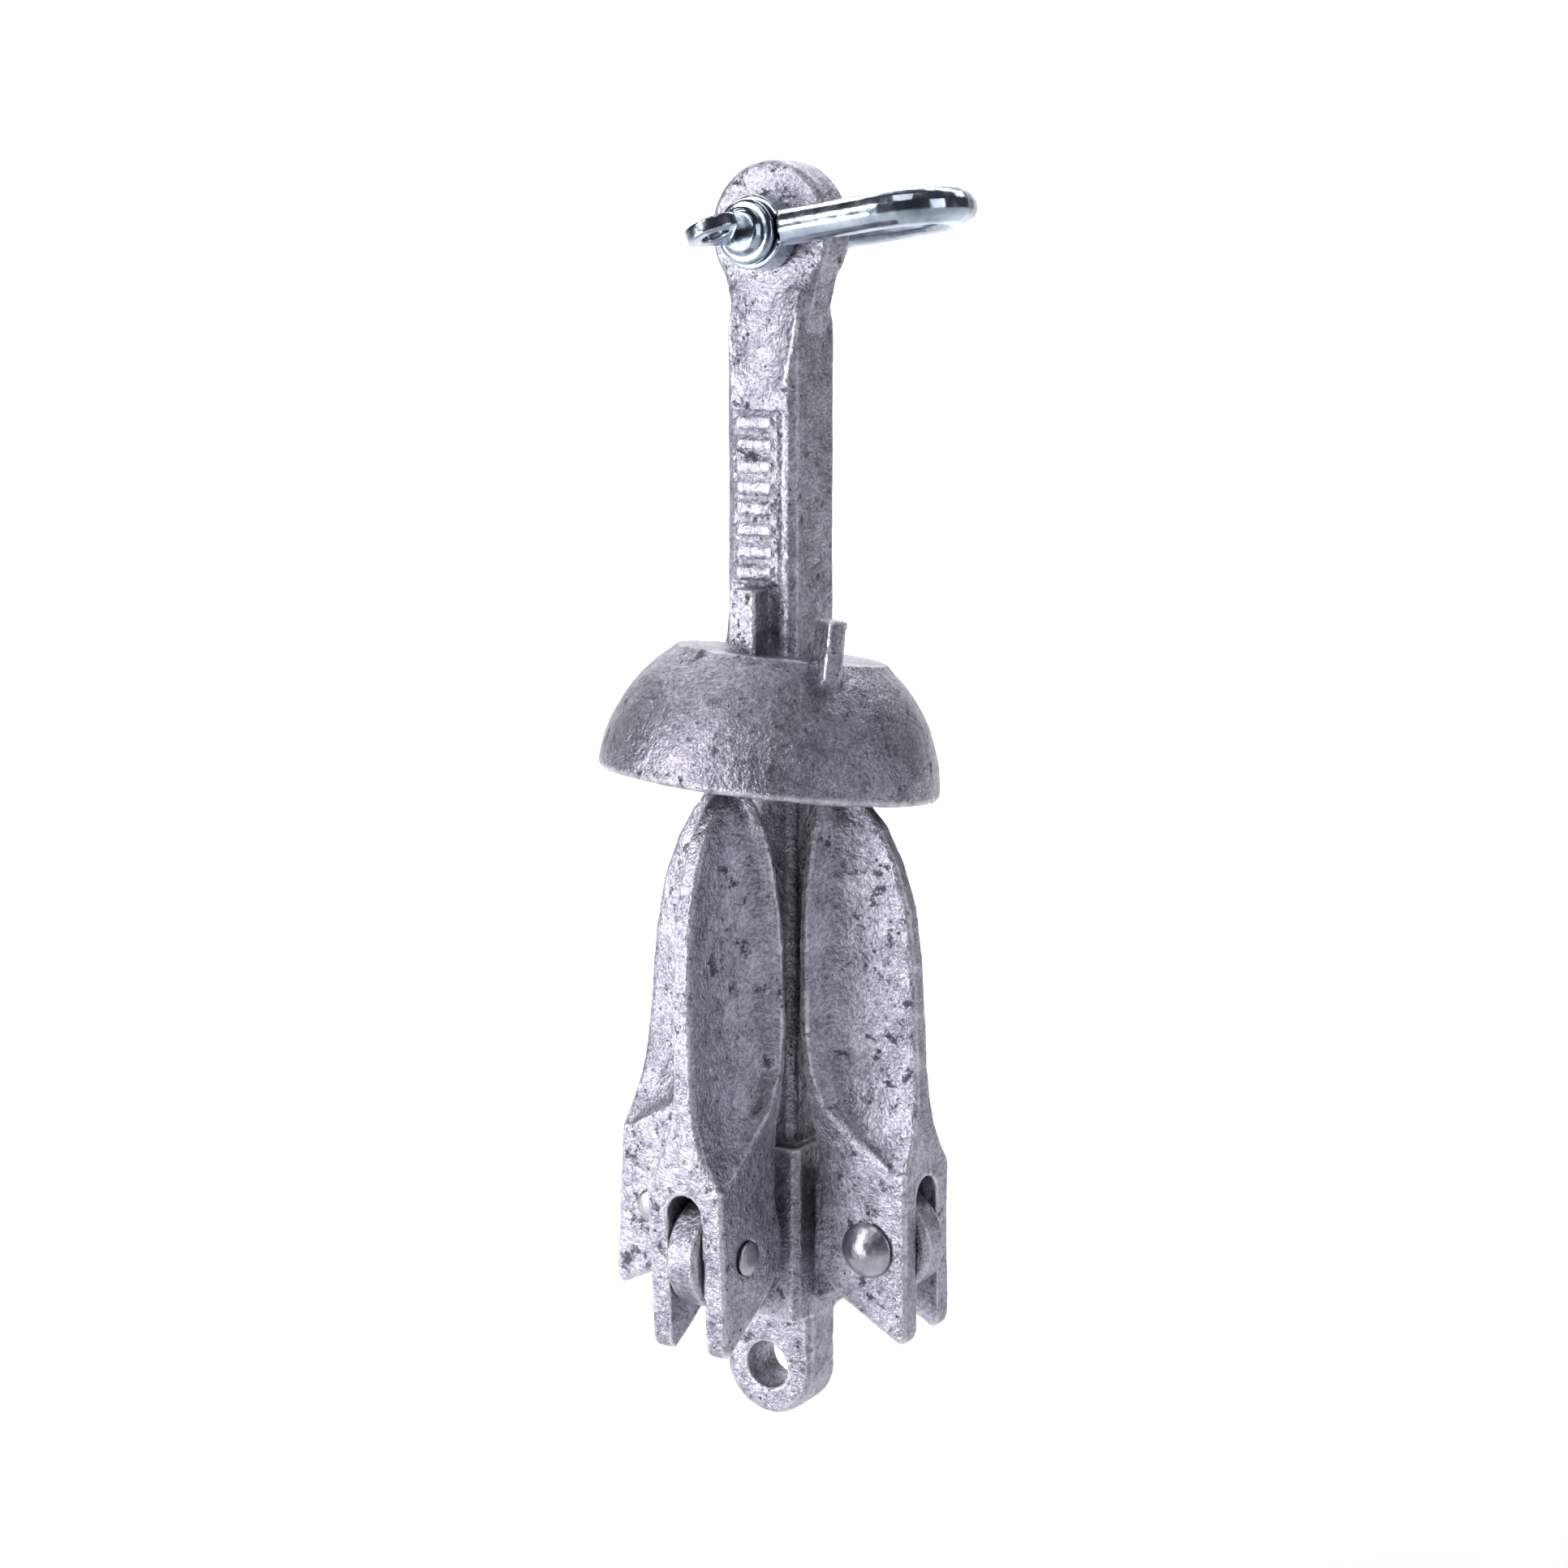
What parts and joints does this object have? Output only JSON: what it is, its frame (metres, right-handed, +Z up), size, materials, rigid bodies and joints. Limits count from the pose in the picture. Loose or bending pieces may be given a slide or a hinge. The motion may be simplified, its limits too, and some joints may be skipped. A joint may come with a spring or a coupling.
{
  "type": "folding grapnel anchor",
  "caption": "Folding grapnel anchor, stowed: hinged flukes lie along a square shank, a sliding domed collar covers their tips, and a screw-pin shackle stands in the eye.",
  "frame": {"origin": "centre of the hole in the shackle eye at the top of the shank", "axes": "+Z up along the shank towards the eye, -Y the front that carries the ribbed panel, +X the side the shackle stands out to"},
  "size_m": [0.0653, 0.0624, 0.2136],
  "materials": {
    "galvanised_iron": "hot-dip galvanised, mottled, worn bright at the edges",
    "collar_iron": "hot-dip galvanised, darker and smoother",
    "rivet_steel": "satin, hammered",
    "zinc_plate": "bright bluish zinc plate"
  },
  "bodies": {
    "anchor_body": {"shank": "galvanised_iron"},
    "collar": {"collar": "collar_iron"},
    "fluke_front": {"fluke_front": "galvanised_iron", "rivet_front": "rivet_steel"},
    "fluke_right": {"fluke_right": "galvanised_iron", "rivet_right": "rivet_steel"},
    "fluke_back": {"fluke_back": "galvanised_iron", "rivet_back": "rivet_steel"},
    "fluke_left": {"fluke_left": "galvanised_iron", "rivet_left": "rivet_steel"},
    "shackle_bow": {"shackle_bow": "zinc_plate"},
    "shackle_pin": {"shackle_pin": "zinc_plate"}
  },
  "joints": [
    {"name": "collar_slide", "type": "slide", "parent": "anchor_body", "child": "collar", "axis": [0, 0, 1], "range_m": [0, 0.049]},
    {"name": "fluke_front_hinge", "type": "hinge", "parent": "anchor_body", "child": "fluke_front", "pos_m": [0, -0.022, -0.1672], "axis": [1, 0, 0], "range_deg": [0, 56.7]},
    {"name": "fluke_right_hinge", "type": "hinge", "parent": "anchor_body", "child": "fluke_right", "pos_m": [0.022, 0, -0.1672], "axis": [0, 1, 0], "range_deg": [0, 60.6]},
    {"name": "fluke_back_hinge", "type": "hinge", "parent": "anchor_body", "child": "fluke_back", "pos_m": [0, 0.022, -0.1672], "axis": [-1, 0, 0], "range_deg": [0, 59.8]},
    {"name": "fluke_left_hinge", "type": "hinge", "parent": "anchor_body", "child": "fluke_left", "pos_m": [-0.022, 0, -0.1672], "axis": [0, -1, 0], "range_deg": [0, 63.3]},
    {"name": "shackle_swing", "type": "hinge", "parent": "anchor_body", "child": "shackle_bow", "pos_m": [0, 0, 0], "axis": [0, -0.9994, 0.0349], "range_deg": [-34, 198]},
    {"name": "shackle_pin_withdraw", "type": "slide", "parent": "shackle_bow", "child": "shackle_pin", "axis": [0, -0.9994, 0.0349], "range_m": [0, 0.026]}
  ],
  "couplings": [
    {"joint": "fluke_front_hinge", "follows": "collar_slide", "rad_per_m": 20.195},
    {"joint": "fluke_right_hinge", "follows": "collar_slide", "rad_per_m": 21.585},
    {"joint": "fluke_back_hinge", "follows": "collar_slide", "rad_per_m": 21.3},
    {"joint": "fluke_left_hinge", "follows": "collar_slide", "rad_per_m": 22.546}
  ]
}
